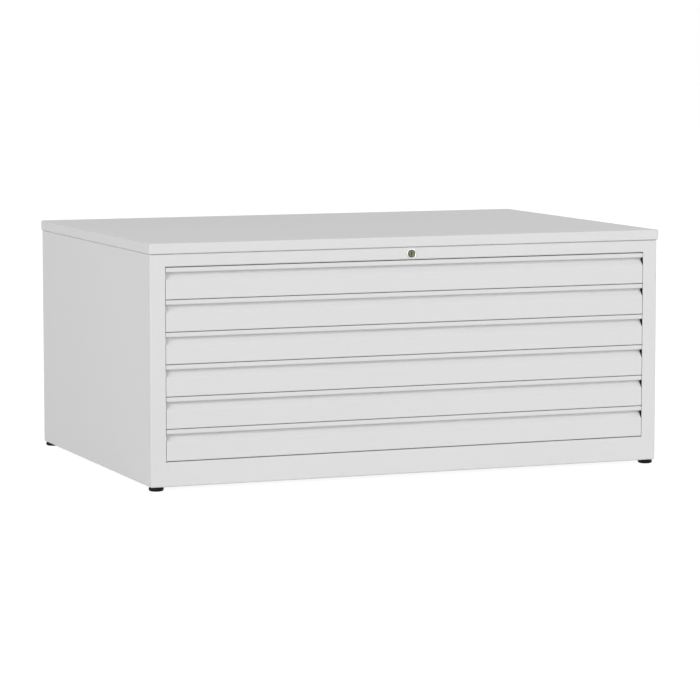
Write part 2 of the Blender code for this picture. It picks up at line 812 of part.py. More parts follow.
def drawers():
    """Six drawers, numbered from the top, each with its front, tray, catch and slides."""
    front = front_mesh()
    tray = tray_mesh()
    catch = catch_mesh()
    outers = channel_meshes("slide_outer", channel_corners(slide_edge, opening_side, slide_height))
    middles = channel_meshes("slide_middle", channel_corners(slide_edge, middle_back, middle_height))
    for number in range(1, drawer_count + 1):
        place = (0, body_front, opening_top - number * drawer_pitch)
        drawer = add_empty(f"drawer_{number}", place)
        fixed = add_empty(f"slide_seat_{number}", place)
        carriage = add_empty(f"slide_carriage_{number}", place)
        add_copy(f"drawer_front_{number}", front, grey_paint, drawer)
        add_copy(f"drawer_tray_{number}", tray, grey_paint, drawer)
        add_copy(f"latch_catch_{number}", catch, zinc, drawer)
        for side in ("left", "right"):
            add_copy(f"slide_outer_{side}_{number}", outers[side], zinc, fixed)
            add_copy(f"slide_middle_{side}_{number}", middles[side], zinc, carriage)


def feet():
    mesh = foot_mesh()
    for name, (x, y) in foot_places().items():
        paint(add_object(f"foot_{name}", mesh, cabinet, (x, y, 0)), black_plastic)


def body():
    side_panel("left", -1)
    side_panel("right", 1)
    back_panel()
    bottom_panel()
    top_rail()
    bottom_rail()
    top_cover()


body()
feet()
drawers()
lock()
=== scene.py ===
import math

import bmesh
import bpy
from mathutils import Matrix, Vector


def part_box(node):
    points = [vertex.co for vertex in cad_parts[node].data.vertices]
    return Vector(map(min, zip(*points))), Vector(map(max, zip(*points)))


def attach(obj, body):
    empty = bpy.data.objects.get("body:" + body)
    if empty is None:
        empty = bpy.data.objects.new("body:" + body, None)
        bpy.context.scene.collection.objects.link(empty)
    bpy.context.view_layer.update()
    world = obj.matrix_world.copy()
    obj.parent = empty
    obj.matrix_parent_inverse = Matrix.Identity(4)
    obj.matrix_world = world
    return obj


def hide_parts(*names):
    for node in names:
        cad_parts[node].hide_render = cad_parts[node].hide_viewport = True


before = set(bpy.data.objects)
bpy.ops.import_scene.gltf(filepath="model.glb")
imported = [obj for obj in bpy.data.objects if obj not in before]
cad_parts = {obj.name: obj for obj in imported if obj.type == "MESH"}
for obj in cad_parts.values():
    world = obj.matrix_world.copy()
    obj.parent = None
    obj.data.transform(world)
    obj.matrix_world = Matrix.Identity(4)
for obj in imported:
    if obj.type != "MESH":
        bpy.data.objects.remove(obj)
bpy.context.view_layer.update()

# Flat file cabinet: finer sheet metal, slides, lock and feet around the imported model.
# Lengths are in metres, +Z is up and the drawers open towards -Y.
print("stage 1: frame loaded with", len(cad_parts), "nodes")

shared = {
    "edgeRound": 0.0003,  # radius on cut sheet edges under the paint
    "edgeSteps": 2,
    "edgeAngle": 50,  # edges turned further than this get that radius
    "foldSteps": 6,
    "foldRoom": 0.45,  # largest share of a straight run that one fold may take up
    "foldAngle": 30,  # edges of a tray turned further than this are folds
    "smoothAngle": 38,  # edges turned further than this stay sharp in the shading
    "slotSteps": 8,
    "cutOver": 0.002,  # how far a cutting shape stands out of the sheet
    "weld": 0.00001,  # points closer than this count as one
    "drawers": 6,
}

axes = {
    "X": lambda across, up, along: Vector((along, across, up)),
    "Y": lambda across, up, along: Vector((across, along, up)),
    "Z": lambda across, up, along: Vector((across, up, along)),
}


# Pieces and their meshes

def addPiece(name, mesh, material=None):
    piece = bpy.data.objects.new(name, mesh)
    bpy.context.scene.collection.objects.link(piece)
    if material:
        mesh.materials.clear()
        mesh.materials.append(material)
    return piece


def facesOut(shape):
    bmesh.ops.recalc_face_normals(shape, faces=shape.faces)
    return shape


def toMesh(shape, name):
    mesh = bpy.data.meshes.new(name)
    shape.to_mesh(mesh)
    shape.free()
    return mesh


def settle(piece, guides=()):
    # apply the modifiers and the place, and clear away what was only used for cutting
    bpy.context.view_layer.update()
    shown = piece.evaluated_get(bpy.context.evaluated_depsgraph_get())
    mesh = bpy.data.meshes.new_from_object(shown)
    mesh.transform(piece.matrix_world)
    mesh.name = piece.name
    for used in [piece, *guides]:
        bpy.data.objects.remove(used, do_unlink=True)
    return mesh


def combine(mesh, name, guides, operation="DIFFERENCE"):
    piece = addPiece(name, mesh)
    for guide in guides:
        change = piece.modifiers.new(guide.name, "BOOLEAN")
        change.operation = operation
        change.solver = "EXACT"
        change.object = guide
    return settle(piece, guides)


def smoothOut(mesh):
    mesh.shade_smooth()
    mesh.set_sharp_from_angle(angle=math.radians(shared["smoothAngle"]))
    return mesh


def show(name, mesh, slot, carrier, nodes=()):
    # one visible piece on the body that carries it; flat faces keep their normals next to folds
    piece = addPiece(name, mesh, finishes[slot])
    even = piece.modifiers.new("even shading", "WEIGHTED_NORMAL")
    even.weight = 100
    even.keep_sharp = True
    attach(piece, carrier)
    if nodes:
        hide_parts(*nodes)


def boxShape(name, low, high):
    low, high = Vector(low), Vector(high)
    shape = bmesh.new()
    bmesh.ops.create_cube(shape, size=1)
    bmesh.ops.scale(shape, vec=high - low, verts=shape.verts)
    bmesh.ops.translate(shape, vec=(low + high) / 2, verts=shape.verts)
    return addPiece(name, toMesh(shape, name))


def barShape(name, radius, start, end, sides):
    # a cylinder, or a prism with few sides, from one point to another
    start, end = Vector(start), Vector(end)
    way = end - start
    shape = bmesh.new()
    bmesh.ops.create_cone(shape, cap_ends=True, segments=sides, radius1=radius, radius2=radius,
                          depth=way.length)
    turn = way.to_track_quat("Z", "Y").to_matrix().to_4x4()
    shape.transform(Matrix.Translation((start + end) / 2) @ turn)
    return addPiece(name, toMesh(shape, name))


def slotShape(name, length, width, start, end, side):
    # an oblong plug from start to end, with its length along side
    start, end, side = Vector(start), Vector(end), Vector(side).normalized()
    other = (end - start).normalized().cross(side)
    straight, radius, steps = (length - width) / 2, width / 2, shared["slotSteps"]
    outline = []
    for half in (1, -1):
        for step in range(steps + 1):
            turn = math.pi * (step / steps - 0.5)
            along = side * (straight + radius * math.cos(turn))
            outline.append(half * (along + other * radius * math.sin(turn)))
    shape = bmesh.new()
    near = [shape.verts.new(start + corner) for corner in outline]
    far = [shape.verts.new(end + corner) for corner in outline]
    shape.faces.new(near)
    shape.faces.new(far)
    for index in range(len(near)):
        shape.faces.new((near[index - 1], near[index], far[index], far[index - 1]))
    return addPiece(name, toMesh(facesOut(shape), name))


def bentLine(corners, bend, sheet):
    # round the corners of a section line whose sheet lies on its left
    corners = [Vector(corner) for corner in corners]
    steps = shared["foldSteps"]
    line = [corners[0]]
    for before, corner, after in zip(corners, corners[1:], corners[2:]):
        wayIn = (corner - before).normalized()
        wayOut = (after - corner).normalized()
        turn = math.atan2(wayIn.cross(wayOut), wayIn.dot(wayOut))
        radius = bend + sheet if turn > 0 else bend
        room = shared["foldRoom"] * min((corner - before).length, (after - corner).length)
        reach = min(radius * math.tan(abs(turn) / 2), room)
        radius = reach / math.tan(abs(turn) / 2)
        left = Vector((-wayIn.y, wayIn.x)) * math.copysign(radius, turn)
        centre = corner - wayIn * reach + left
        for step in range(steps + 1):
            angle = turn * step / steps
            cosine, sine = math.cos(angle), math.sin(angle)
            line.append(centre - Vector((left.x * cosine - left.y * sine, left.x * sine + left.y * cosine)))
    line.append(corners[-1])
    return line


def roundEdges(piece, width=None):
    edge = piece.modifiers.new("edges", "BEVEL")
    edge.width = width or shared["edgeRound"]
    edge.segments = shared["edgeSteps"]
    edge.limit_method = "ANGLE"
    edge.angle_limit = math.radians(shared["edgeAngle"])


def thicken(piece, sheet):
    wall = piece.modifiers.new("sheet", "SOLIDIFY")
    wall.thickness = sheet
    wall.offset = -1
    wall.use_even_offset = True


def foldSheet(name, corners, start, end, axis, bend, sheet, edges=True):
    # a bent strip: the section is drawn out along an axis and thickened to its left
    place = axes[axis]
    line = bentLine(corners, bend, sheet)
    skin = bmesh.new()
    near = [skin.verts.new(place(across, up, start)) for across, up in line]
    rim = [skin.edges.new(pair) for pair in zip(near, near[1:])]
    drawn = bmesh.ops.extrude_edge_only(skin, edges=rim)["geom"]
    far = [part for part in drawn if isinstance(part, bmesh.types.BMVert)]
    bmesh.ops.translate(skin, verts=far, vec=place(0, 0, end - start))
    bmesh.ops.recalc_face_normals(skin, faces=skin.faces)
    way = line[1] - line[0]
    if near[0].link_faces[0].normal.dot(place(-way.y, way.x, 0)) > 0:
        bmesh.ops.reverse_faces(skin, faces=skin.faces)
    piece = addPiece(name, toMesh(skin, name))
    thicken(piece, sheet)
    if edges:
        roundEdges(piece)
    return settle(piece)


def foldPan(name, low, high, openSide, rim, bend, sheet, rearRim=None):
    # a folded tray, open on one side; rim is the width turned in there, rearRim its width at the rear
    low, high = Vector(low), Vector(high)
    skin = bmesh.new()
    bmesh.ops.create_cube(skin, size=1)
    bmesh.ops.scale(skin, vec=high - low, verts=skin.verts)
    lid = max(skin.faces, key=lambda face: face.normal.dot(Vector(openSide)))
    if rim:
        bmesh.ops.inset_region(skin, faces=[lid], thickness=rim)
        if rearRim:
            rear = max(corner.co.y for corner in lid.verts)
            for corner in lid.verts:
                if corner.co.y > rear - shared["weld"]:
                    corner.co.y -= rearRim - rim
    bmesh.ops.delete(skin, geom=[lid], context="FACES")
    piece = addPiece(name, toMesh(skin, name))
    piece.location = (low + high) / 2
    folds = piece.modifiers.new("folds", "BEVEL")
    folds.width = bend + sheet
    folds.segments = shared["foldSteps"]
    folds.limit_method = "ANGLE"
    folds.angle_limit = math.radians(shared["foldAngle"])
    thicken(piece, sheet)
    roundEdges(piece)
    return settle(piece)


def turned(name, profile, sides, closed=False):
    # a profile of radii and heights, turned about Z
    outline = bmesh.new()
    corners = [outline.verts.new((radius, 0, height)) for radius, height in profile]
    pairs = list(zip(corners, corners[1:])) + ([(corners[-1], corners[0])] if closed else [])
    for pair in pairs:
        outline.edges.new(pair)
    piece = addPiece(name, toMesh(outline, name))
    lathe = piece.modifiers.new("turned", "SCREW")
    lathe.steps = sides
    lathe.render_steps = sides
    lathe.use_merge_vertices = True
    lathe.merge_threshold = shared["weld"]
    solid = bmesh.new()
    solid.from_mesh(settle(piece))
    return toMesh(facesOut(solid), name)


def quarterTurn(steps):
    # cosine and sine of each step through a quarter of a circle
    turns = [math.radians(90) * step / steps for step in range(steps + 1)]
    return [(math.cos(turn), math.sin(turn)) for turn in turns]


def sideLine(corners, side):
    # a section drawn for the right side, mirrored for the left
    return [(-across, up) for across, up in reversed(corners)] if side < 0 else corners


def sideName(side):
    return "Left" if side < 0 else "Right"


def footCentre(depth, word):
    low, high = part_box(f"foot_{depth}_{word}")
    return (low.x + high.x) / 2, (low.y + high.y) / 2


weldMarks = {"radius": 0.0032, "depth": 0.0006, "rings": 5, "sides": 24}


def weldMark(name, place, outward):
    # the shallow dish that a spot welding tip leaves, as the plug that is cut out of a flat face
    rings, depth = weldMarks["rings"], weldMarks["depth"]
    profile = [(weldMarks["radius"] * step / rings, depth * ((step / rings) ** 2 - 1))
               for step in range(rings + 2)]
    mesh = turned(name, profile + [(0, depth)], weldMarks["sides"])
    turn = Vector(outward).to_track_quat("Z", "Y").to_matrix().to_4x4()
    mesh.transform(Matrix.Translation(Vector(place)) @ turn)
    return addPiece(name, mesh)


def weldRow(name, start, end, outward, pitch):
    # spot weld marks at an even pitch between two points
    start, end = Vector(start), Vector(end)
    count = max(2, round((end - start).length / pitch) + 1)
    return [weldMark(f"{name}{index}", start.lerp(end, index / (count - 1)), outward)
            for index in range(count)]


# Finishes: procedural materials, one for each slot of the record

def startMaterial(name):
    material = bpy.data.materials.new(name)
    material.use_nodes = True
    tree = material.node_tree
    return material, tree, tree.nodes["Principled BSDF"]


def placeNode(tree, stretch=(1, 1, 1)):
    where = tree.nodes.new("ShaderNodeTexCoord")
    mapping = tree.nodes.new("ShaderNodeMapping")
    mapping.inputs["Scale"].default_value = stretch
    tree.links.new(where.outputs["Object"], mapping.inputs["Vector"])
    return mapping.outputs["Vector"]


def noiseNode(tree, place, size, detail=2.0, roughness=0.5):
    # size is the width of one blotch in metres
    noise = tree.nodes.new("ShaderNodeTexNoise")
    noise.inputs["Scale"].default_value = 1 / size
    noise.inputs["Detail"].default_value = detail
    noise.inputs["Roughness"].default_value = roughness
    tree.links.new(place, noise.inputs["Vector"])
    return noise.outputs["Fac"]


def spread(tree, value, low, high, fromLow=0.3, fromHigh=0.7):
    ranged = tree.nodes.new("ShaderNodeMapRange")
    ranged.inputs["From Min"].default_value = fromLow
    ranged.inputs["From Max"].default_value = fromHigh
    ranged.inputs["To Min"].default_value = low
    ranged.inputs["To Max"].default_value = high
    tree.links.new(value, ranged.inputs["Value"])
    return ranged.outputs["Result"]


def tint(tree, share, first, second):
    mix = tree.nodes.new("ShaderNodeMix")
    mix.data_type = "RGBA"
    tree.links.new(share, mix.inputs["Factor"])
    for socket, colour in (("A", first), ("B", second)):
        target = next(item for item in mix.inputs if item.name == socket and item.type == "RGBA")
        if isinstance(colour, tuple):
            target.default_value = (*colour, 1)
        else:
            tree.links.new(colour, target)
    return next(item for item in mix.outputs if item.type == "RGBA")


def bumpNode(tree, height, depth, before=None):
    # depth is the height of the relief in metres
    bump = tree.nodes.new("ShaderNodeBump")
    bump.inputs["Strength"].default_value = 1
    bump.inputs["Distance"].default_value = depth
    tree.links.new(height, bump.inputs["Height"])
    if before:
        tree.links.new(before, bump.inputs["Normal"])
    return bump.outputs["Normal"]


powderCoat = {
    "pale": (0.741, 0.741, 0.741),
    "deep": (0.729, 0.730, 0.731),
    "cloudSize": 0.35,  # slow drift of tone over a panel
    "speckSize": 0.0012,
    "speckColour": (0.69, 0.69, 0.69),
    "speckShare": 0.18,
    "speckRange": (0.45, 0.75),
    "roughness": (0.565, 0.595),
    "roughSize": 0.03,
    "peelSize": 0.0022,  # orange peel of the baked powder
    "peelDepth": 0.000006,
    "waveSize": 0.22,  # the sheet itself is never quite flat
    "waveDepth": 0.00018,
}


def makePowderCoat(name, values):
    material, tree, shader = startMaterial(name)
    place = placeNode(tree)
    cloud = spread(tree, noiseNode(tree, place, values["cloudSize"], 3), 0, 1)
    speck = spread(tree, noiseNode(tree, place, values["speckSize"], 1), 0, values["speckShare"],
                   *values["speckRange"])
    base = tint(tree, cloud, values["deep"], values["pale"])
    colour = tint(tree, speck, base, values["speckColour"])
    tree.links.new(colour, shader.inputs["Base Color"])
    rough = spread(tree, noiseNode(tree, place, values["roughSize"], 3), *values["roughness"])
    tree.links.new(rough, shader.inputs["Roughness"])
    wave = bumpNode(tree, noiseNode(tree, place, values["waveSize"], 0), values["waveDepth"])
    peel = bumpNode(tree, noiseNode(tree, place, values["peelSize"], 2, 0.4), values["peelDepth"], wave)
    tree.links.new(peel, shader.inputs["Normal"])
    shader.inputs["IOR"].default_value = 1.5
    return material


zincPlating = {
    "bright": (0.66, 0.67, 0.68),
    "dull": (0.54, 0.55, 0.57),
    "tinge": (0.62, 0.61, 0.55),  # faint yellow of the passivation
    "tingeShare": 0.5,
    "stretch": (1.0, 0.03, 1.0),  # rolling lines run along the slides
    "streakSize": 0.0009,
    "patchSize": 0.04,
    "roughness": (0.26, 0.42),
    "streakDepth": 0.000006,
}


def makeZinc(name, values):
    material, tree, shader = startMaterial(name)
    streaks = noiseNode(tree, placeNode(tree, values["stretch"]), values["streakSize"], 3)
    patches = noiseNode(tree, placeNode(tree), values["patchSize"], 4)
    metal = tint(tree, spread(tree, streaks, 0, 1), values["dull"], values["bright"])
    colour = tint(tree, spread(tree, patches, 0, values["tingeShare"]), metal, values["tinge"])
    tree.links.new(colour, shader.inputs["Base Color"])
    tree.links.new(spread(tree, patches, *values["roughness"]), shader.inputs["Roughness"])
    tree.links.new(bumpNode(tree, streaks, values["streakDepth"]), shader.inputs["Normal"])
    shader.inputs["Metallic"].default_value = 1
    return material


nickelPlating = {
    "bright": (0.91, 0.905, 0.885),
    "dull": (0.84, 0.83, 0.81),
    "patchSize": 0.006,
    "lineSize": 0.00045,
    "roughness": (0.20, 0.32),
    "lineDepth": 0.000002,
}

lockCore = {
    "bright": (0.19, 0.185, 0.135),
    "dull": (0.10, 0.10, 0.070),
    "patchSize": 0.003,
    "lineSize": 0.00035,
    "roughness": (0.30, 0.45),
    "lineDepth": 0.000004,
}


def makeTurnedMetal(name, values, axisPlace):
    # fine rings round the lock's axis, from the distance to it
    material, tree, shader = startMaterial(name)
    where = tree.nodes.new("ShaderNodeTexCoord")
    flat = tree.nodes.new("ShaderNodeVectorMath")
    flat.operation = "MULTIPLY_ADD"
    flat.inputs[1].default_value = (1, 0, 1)
    flat.inputs[2].default_value = (-axisPlace[0], 0, -axisPlace[2])
    tree.links.new(where.outputs["Object"], flat.inputs[0])
    far = tree.nodes.new("ShaderNodeVectorMath")
    far.operation = "LENGTH"
    tree.links.new(flat.outputs["Vector"], far.inputs[0])
    ring = tree.nodes.new("ShaderNodeTexNoise")
    ring.noise_dimensions = "1D"
    ring.inputs["Scale"].default_value = 1 / values["lineSize"]
    ring.inputs["Detail"].default_value = 2
    tree.links.new(far.outputs["Value"], ring.inputs["W"])
    patches = noiseNode(tree, placeNode(tree), values["patchSize"], 3)
    colour = tint(tree, spread(tree, patches, 0, 1), values["dull"], values["bright"])
    tree.links.new(colour, shader.inputs["Base Color"])
    tree.links.new(spread(tree, patches, *values["roughness"]), shader.inputs["Roughness"])
    tree.links.new(bumpNode(tree, ring.outputs["Fac"], values["lineDepth"]), shader.inputs["Normal"])
    shader.inputs["Metallic"].default_value = 1
    return material


blackPlastic = {
    "base": (0.004, 0.004, 0.004),
    "scuff": (0.012, 0.012, 0.012),
    "shine": 0.12,  # a matt rubbery grade, nearly without gloss
    "grainSize": 0.0006,
    "scuffSize": 0.004,
    "scuffRange": (0.55, 0.8),
    "roughness": (0.38, 0.58),
    "grainDepth": 0.00003,
}


def makePlastic(name, values):
    material, tree, shader = startMaterial(name)
    place = placeNode(tree)
    scuffs = noiseNode(tree, place, values["scuffSize"], 4, 0.6)
    grain = noiseNode(tree, place, values["grainSize"], 2)
    colour = tint(tree, spread(tree, scuffs, 0, 1, *values["scuffRange"]), values["base"], values["scuff"])
    tree.links.new(colour, shader.inputs["Base Color"])
    tree.links.new(spread(tree, scuffs, *values["roughness"]), shader.inputs["Roughness"])
    tree.links.new(bumpNode(tree, grain, values["grainDepth"]), shader.inputs["Normal"])
    shader.inputs["Specular IOR Level"].default_value = values["shine"]
    return material


lockPlace = (0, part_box("top_rail")[0].y, sum(corner.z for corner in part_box("lock_housing")) / 2)
finishes = {
    "light_grey_paint": makePowderCoat("light grey powder coat", powderCoat),
    "zinc_plated_steel": makeZinc("zinc plated steel", zincPlating),
    "nickel_plating": makeTurnedMetal("nickel plated lock face", nickelPlating, lockPlace),
    "lock_core_metal": makeTurnedMetal("dull lock core", lockCore, lockPlace),
    "black_plastic": makePlastic("black moulded plastic", blackPlastic),
}
print("stage 2: five finishes made")


# Body

body = {
    "sheet": 0.0012,
    "bend": 0.0013,
    "railDepth": 0.030,
    "railReturn": 0.014,  # lower flange of the top rail
    "bottomRailDepth": 0.020,
    "backFlange": 0.055,  # along the back panel's top
    "bottomFlange": 0.015,  # along the bottom panel's front and rear
    "nutRadius": 0.0075,
    "nutHeight": 0.008,
    "nutBevel": 0.0008,
    "nutSides": 64,
    "nutHoleRadius": 0.009,
    "stemHoleRadius": 0.0043,
    "stemHoleSides": 32,
    "weldPitch": 0.080,
    "weldInset": 0.009,
    "weldEnd": 0.035,  # from the end of the flange to the first mark
    "lockHoleRadius": 0.0073,
    "largeHoleSides": 48,
}


def makeSidePanels():
    sheet = body["sheet"]
    for side in (-1, 1):
        word = sideName(side)
        node = f"side_panel_{word.lower()}"
        low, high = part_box(node)
        mesh = foldPan(f"sidePanel{word}", low, high, (-side, 0, 0), 0, body["bend"], sheet)
        holes = []
        for depth in ("front", "rear"):
            x, y = footCentre(depth, word.lower())
            start = (x, y, low.z - shared["cutOver"])
            end = (x, y, low.z + sheet + shared["cutOver"])
            holes.append(barShape(f"stemHole{word}{depth}", body["stemHoleRadius"], start, end,
                                  body["stemHoleSides"]))
            makeWeldNut(word, depth, x, y, low.z + sheet)
        flangeX = side * (min(abs(low.x), abs(high.x)) + body["weldInset"])
        marks = weldRow(f"rearWeld{word}", (flangeX, high.y, low.z + body["weldEnd"]),
                        (flangeX, high.y, high.z - body["weldEnd"]), (0, 1, 0), body["weldPitch"])
        mesh = combine(mesh, f"sidePanel{word}", holes + marks)
        show(f"sidePanel{word}", smoothOut(mesh), "light_grey_paint", "cabinet", [node])


def makeWeldNut(word, depth, x, y, base):
    # hexagonal weld nut on the lower flange, with turned-off corners and its threaded bore
    radius, top, bevel = body["nutRadius"], base + body["nutHeight"], body["nutBevel"]
    cone = turned("nutCone", [(0, top), (radius - bevel, top), (radius + bevel, top - 2 * bevel),
                              (radius + bevel, base - bevel), (0, base - bevel)], body["nutSides"])
    hexagon = barShape("nutHexagon", radius, (0, 0, base), (0, 0, top + bevel), 6)
    mesh = combine(cone, "nut", [hexagon], "INTERSECT")
    bore = barShape("nutBore", body["stemHoleRadius"], (0, 0, base - bevel), (0, 0, top + bevel),
                    body["stemHoleSides"])
    name = f"weldNut{depth.title()}{word}"
    mesh = combine(mesh, name, [bore])
    mesh.transform(Matrix.Translation((x, y, 0)))
    show(name, smoothOut(mesh), "light_grey_paint", "cabinet")


uprights = {
    "width": 0.040,
    "foot": 0.012,  # flange on the side wall
    "frontStart": 0.060,  # from the front of the body
    "rearEnd": 0.052,  # from the rear end of the slides
    "sheet": 0.0012,
    "bend": 0.001,
    "slotLength": 0.009,
    "slotWidth": 0.0035,
    "slotInset": 0.009,
    "gap": 0.0003,
}


def slideMiddle():
    # height of the middle of the uppermost drawer's slides
    low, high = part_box("slide_outer_right_1")
    return (low.z + high.z) / 2


def makeUprights():
    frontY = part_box("top_rail")[0].y
    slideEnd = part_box("slide_outer_left_1")[1].y
    starts = {"Front": frontY + uprights["frontStart"],
              "Rear": slideEnd - uprights["rearEnd"] - uprights["width"]}
    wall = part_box("side_panel_right")[1].x - body["sheet"]
    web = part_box("slide_outer_right_1")[1].x + uprights["gap"] + uprights["sheet"]
    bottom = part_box("bottom_panel")[0].z + body["sheet"] + uprights["gap"]
    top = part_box("top_rail")[1].z - body["sheet"] - 2 * body["bend"]
    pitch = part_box("drawer_front_1")[0].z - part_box("drawer_front_2")[0].z
    middle = slideMiddle()
    for side in (-1, 1):
        for depth, start in starts.items():
            end = start + uprights["width"]
            line = sideLine([(wall, start - uprights["foot"]), (wall, start), (web, start), (web, end),
                             (wall, end), (wall, end + uprights["foot"])], side)
            name = f"slidePost{depth}{sideName(side)}"
            mesh = foldSheet(name, line, bottom, top, "Z", uprights["bend"], uprights["sheet"])
            holes = []
            for number in range(shared["drawers"] + 1):
                z = middle + pitch / 2 - number * pitch
                for y in (start + uprights["slotInset"], end - uprights["slotInset"]):
                    near = (side * (web - uprights["sheet"] - shared["cutOver"]), y, z)
                    far = (side * (web + shared["cutOver"]), y, z)
                    holes.append(slotShape(f"hookSlot{number}{y}", uprights["slotLength"],
                                           uprights["slotWidth"], near, far, (0, 0, 1)))
            mesh = combine(mesh, name, holes)
            show(name, smoothOut(mesh), "light_grey_paint", "cabinet")


def makeBackPanel():
    low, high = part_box("back_panel")
    sheet = body["sheet"]
    corners = [(high.y, low.z), (high.y, high.z), (high.y - body["backFlange"], high.z)]
    mesh = foldSheet("backPanel", corners, low.x, high.x, "X", body["bend"], sheet)
    show("backPanel", smoothOut(mesh), "light_grey_paint", "cabinet", ["back_panel"])


def makeBottomPanel():
    low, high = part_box("bottom_panel")
    top = low.z + body["bottomFlange"]
    corners = [(low.y, top), (low.y, low.z), (high.y, low.z), (high.y, top)]
    mesh = foldSheet("bottomPanel", corners, low.x, high.x, "X", body["bend"], body["sheet"])
    holes = []
    for side in ("left", "right"):
        for depth in ("front", "rear"):
            x, y = footCentre(depth, side)
            start = (x, y, low.z - shared["cutOver"])
            end = (x, y, low.z + body["sheet"] + shared["cutOver"])
            holes.append(barShape(f"nutHole{side}{depth}", body["nutHoleRadius"], start, end,
                                  body["largeHoleSides"]))
    mesh = combine(mesh, "bottomPanel", holes)
    show("bottomPanel", smoothOut(mesh), "light_grey_paint", "cabinet", ["bottom_panel"])


def makeRails():
    # the rails run right to the stiles, as they are welded and ground flush there
    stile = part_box("side_panel_right")[0].x
    sheet, bend = body["sheet"], body["bend"]
    reach = stile + shared["edgeRound"]
    low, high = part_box("top_rail")
    rear = low.y + body["railDepth"]
    corners = [(rear, high.z), (low.y, high.z), (low.y, low.z), (low.y + body["railReturn"], low.z)]
    mesh = foldSheet("topRail", corners, -reach, reach, "X", bend, sheet, edges=False)
    hole = barShape("lockHole", body["lockHoleRadius"], (0, low.y - shared["cutOver"], lockPlace[2]),
                    (0, low.y + sheet + shared["cutOver"], lockPlace[2]), body["largeHoleSides"])
    mesh = combine(mesh, "topRail", [hole])
    show("topRail", smoothOut(mesh), "light_grey_paint", "cabinet", ["top_rail"])
    low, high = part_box("bottom_rail")
    rear = low.y + body["bottomRailDepth"]
    corners = [(rear, high.z), (low.y, high.z), (low.y, low.z), (rear, low.z)]
    mesh = foldSheet("bottomRail", corners, -reach, reach, "X", bend, sheet, edges=False)
    show("bottomRail", smoothOut(mesh), "light_grey_paint", "cabinet", ["bottom_rail"])


cover = {"sheet": 0.0012, "bend": 0.0008, "rim": 0.018, "mitreGap": 0.0008}

mitres = {
    "overrun": 1.05,  # share of the rim's depth, past its inner corner
    "keep": 0.16,  # share of the rim's depth that stays whole beside the fold
    "sink": 0.0004,  # how much deeper than the rim's sheet the slot goes
}


def mitreCuts(name, low, high, rimLow, rimHigh, depths, gap):
    # a thin slot along the mitre in each corner of a turned-in rim
    cuts = []
    over = mitres["overrun"]
    for sideX in (-1, 1):
        for sideY in (-1, 1):
            reach = depths["rear" if sideY > 0 else "front"]
            corner = Vector((high.x if sideX > 0 else low.x, high.y if sideY > 0 else low.y,
                             (rimLow + rimHigh) / 2))
            inner = corner - Vector((sideX * depths["side"] * over, sideY * reach * over, 0))
            outer = corner - Vector((sideX * depths["side"], sideY * reach, 0)) * mitres["keep"]
            way = outer - inner
            piece = boxShape(f"{name}{sideX}{sideY}", (-way.length / 2, -gap / 2, rimLow - corner.z),
                             (way.length / 2, gap / 2, rimHigh - corner.z))
            piece.matrix_world = (Matrix.Translation((inner + outer) / 2)
                                  @ Matrix.Rotation(math.atan2(way.y, way.x), 4, "Z"))
            cuts.append(piece)
    return cuts


def makeCover():
    low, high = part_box("top_cover")
    mesh = foldPan("topCover", low, high, (0, 0, -1), cover["rim"], cover["bend"], cover["sheet"])
    depths = {"side": cover["rim"], "front": cover["rim"], "rear": cover["rim"]}
    cuts = mitreCuts("coverMitre", low, high, low.z - shared["cutOver"],
                     low.z + cover["sheet"] + mitres["sink"], depths, cover["mitreGap"])
    mesh = combine(mesh, "topCover", cuts)
    show("topCover", smoothOut(mesh), "light_grey_paint", "cabinet", ["top_cover"])


makeCover()
makeSidePanels()
makeUprights()
makeBackPanel()
makeBottomPanel()
makeRails()
print("stage 3: body built")


# Drawers: folded fronts with a lip to pull by, shallow trays and three-part slides

front = {
    "depth": 0.016,
    "sheet": 0.0012,
    "bend": 0.0006,
    "lip": 0.008,
    "recessDepth": 0.009,
    "recessBack": 0.0042,  # height of the recess at its back
    "slope": 0.011,  # height of the slanting face below it
    "return": 0.015,  # edges turned in behind the front
    "earDepth": 0.012,  # flaps that close the ends
    "earInset": 0.0002,
    "fullness": 0.0003,  # folds and paint stand a little proud and narrow the gaps
    "sideFullness": 0.0006,
}


def eachDrawer(mesh, stem, slot, carrier, nodeStem=None):
    # the first drawer's piece again for every drawer, each on the body that carries it
    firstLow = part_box("drawer_front_1")[0]
    for number in range(1, shared["drawers"] + 1):
        copy = mesh.copy()
        copy.transform(Matrix.Translation(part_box(f"drawer_front_{number}")[0] - firstLow))
        nodes = [f"{nodeStem}_{number}"] if nodeStem else ()
        own = carrier if carrier == "cabinet" else f"{carrier}_{number}"
        show(f"{stem}{number}", copy, slot, own, nodes)


